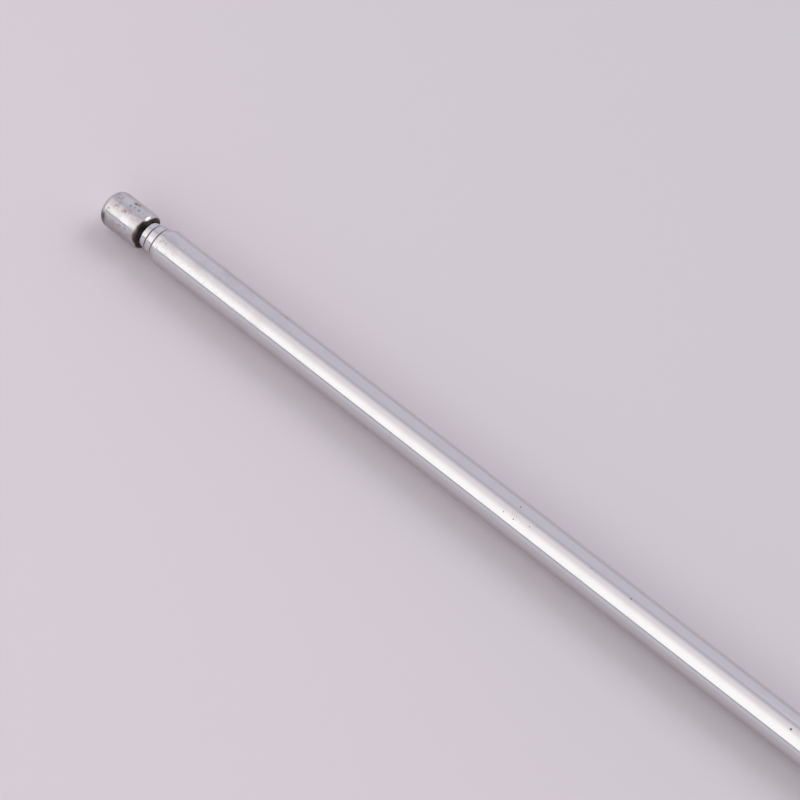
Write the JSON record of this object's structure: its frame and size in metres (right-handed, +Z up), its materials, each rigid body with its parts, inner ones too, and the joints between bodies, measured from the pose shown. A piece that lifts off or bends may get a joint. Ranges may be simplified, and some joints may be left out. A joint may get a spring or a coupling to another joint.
{
  "type": "telescopic antenna",
  "caption": "Collapsed telescopic rod antenna of nested swaged tubes, with a domed pull button and a tapped base.",
  "frame": {"origin": "mouth of the threaded hole, on the antenna's axis at its base end", "axes": "+X along the antenna from the base to the button, +Z up with the antenna lying level"},
  "size_m": [0.1903, 0.007, 0.007],
  "materials": {
    "plated_tube": "bright nickel plate on drawn brass tube",
    "plated_rod": "bright nickel plate on a brass rod",
    "plated_button": "worn nickel plate on turned brass, pitted and tarnished",
    "brass_plug": "turned",
    "bronze_shoe": "rolled spring bronze"
  },
  "bodies": {
    "outer_section": {"outer_tube": "plated_tube", "base_plug": "brass_plug"},
    "second_shoes": {"second_left_shoe": "bronze_shoe", "second_right_shoe": "bronze_shoe"},
    "second_section": {"second_tube": "plated_tube"},
    "third_shoes": {"third_left_shoe": "bronze_shoe", "third_right_shoe": "bronze_shoe"},
    "third_section": {"third_tube": "plated_tube"},
    "fourth_shoes": {"fourth_left_shoe": "bronze_shoe", "fourth_right_shoe": "bronze_shoe"},
    "fourth_section": {"fourth_tube": "plated_tube"},
    "fifth_shoes": {"fifth_left_shoe": "bronze_shoe", "fifth_right_shoe": "bronze_shoe"},
    "fifth_section": {"fifth_tube": "plated_tube"},
    "sixth_shoes": {"sixth_left_shoe": "bronze_shoe", "sixth_right_shoe": "bronze_shoe"},
    "sixth_section": {"sixth_tube": "plated_tube"},
    "tip_shoes": {"tip_left_shoe": "bronze_shoe", "tip_right_shoe": "bronze_shoe"},
    "tip_section": {"tip_rod": "plated_rod", "tip_button": "plated_button"}
  },
  "joints": [
    {"name": "second_slide", "type": "slide", "parent": "outer_section", "child": "second_shoes", "axis": [1, 0, 0], "range_m": [0, 0.16239]},
    {"name": "second_turn", "type": "hinge", "parent": "second_shoes", "child": "second_section", "pos_m": [0, 0, 0], "axis": [1, 0, 0], "continuous": true},
    {"name": "third_slide", "type": "slide", "parent": "second_section", "child": "third_shoes", "axis": [1, 0, 0], "range_m": [0, 0.15929]},
    {"name": "third_turn", "type": "hinge", "parent": "third_shoes", "child": "third_section", "pos_m": [0, 0, 0], "axis": [1, 0, 0], "continuous": true},
    {"name": "fourth_slide", "type": "slide", "parent": "third_section", "child": "fourth_shoes", "axis": [1, 0, 0], "range_m": [0, 0.15576]},
    {"name": "fourth_turn", "type": "hinge", "parent": "fourth_shoes", "child": "fourth_section", "pos_m": [0, 0, 0], "axis": [1, 0, 0], "continuous": true},
    {"name": "fifth_slide", "type": "slide", "parent": "fourth_section", "child": "fifth_shoes", "axis": [1, 0, 0], "range_m": [0, 0.15079]},
    {"name": "fifth_turn", "type": "hinge", "parent": "fifth_shoes", "child": "fifth_section", "pos_m": [0, 0, 0], "axis": [1, 0, 0], "continuous": true},
    {"name": "sixth_slide", "type": "slide", "parent": "fifth_section", "child": "sixth_shoes", "axis": [1, 0, 0], "range_m": [0, 0.14574]},
    {"name": "sixth_turn", "type": "hinge", "parent": "sixth_shoes", "child": "sixth_section", "pos_m": [0, 0, 0], "axis": [1, 0, 0], "continuous": true},
    {"name": "tip_slide", "type": "slide", "parent": "sixth_section", "child": "tip_shoes", "axis": [1, 0, 0], "range_m": [0, 0.14061]},
    {"name": "tip_turn", "type": "hinge", "parent": "tip_shoes", "child": "tip_section", "pos_m": [0, 0, 0], "axis": [1, 0, 0], "continuous": true}
  ]
}
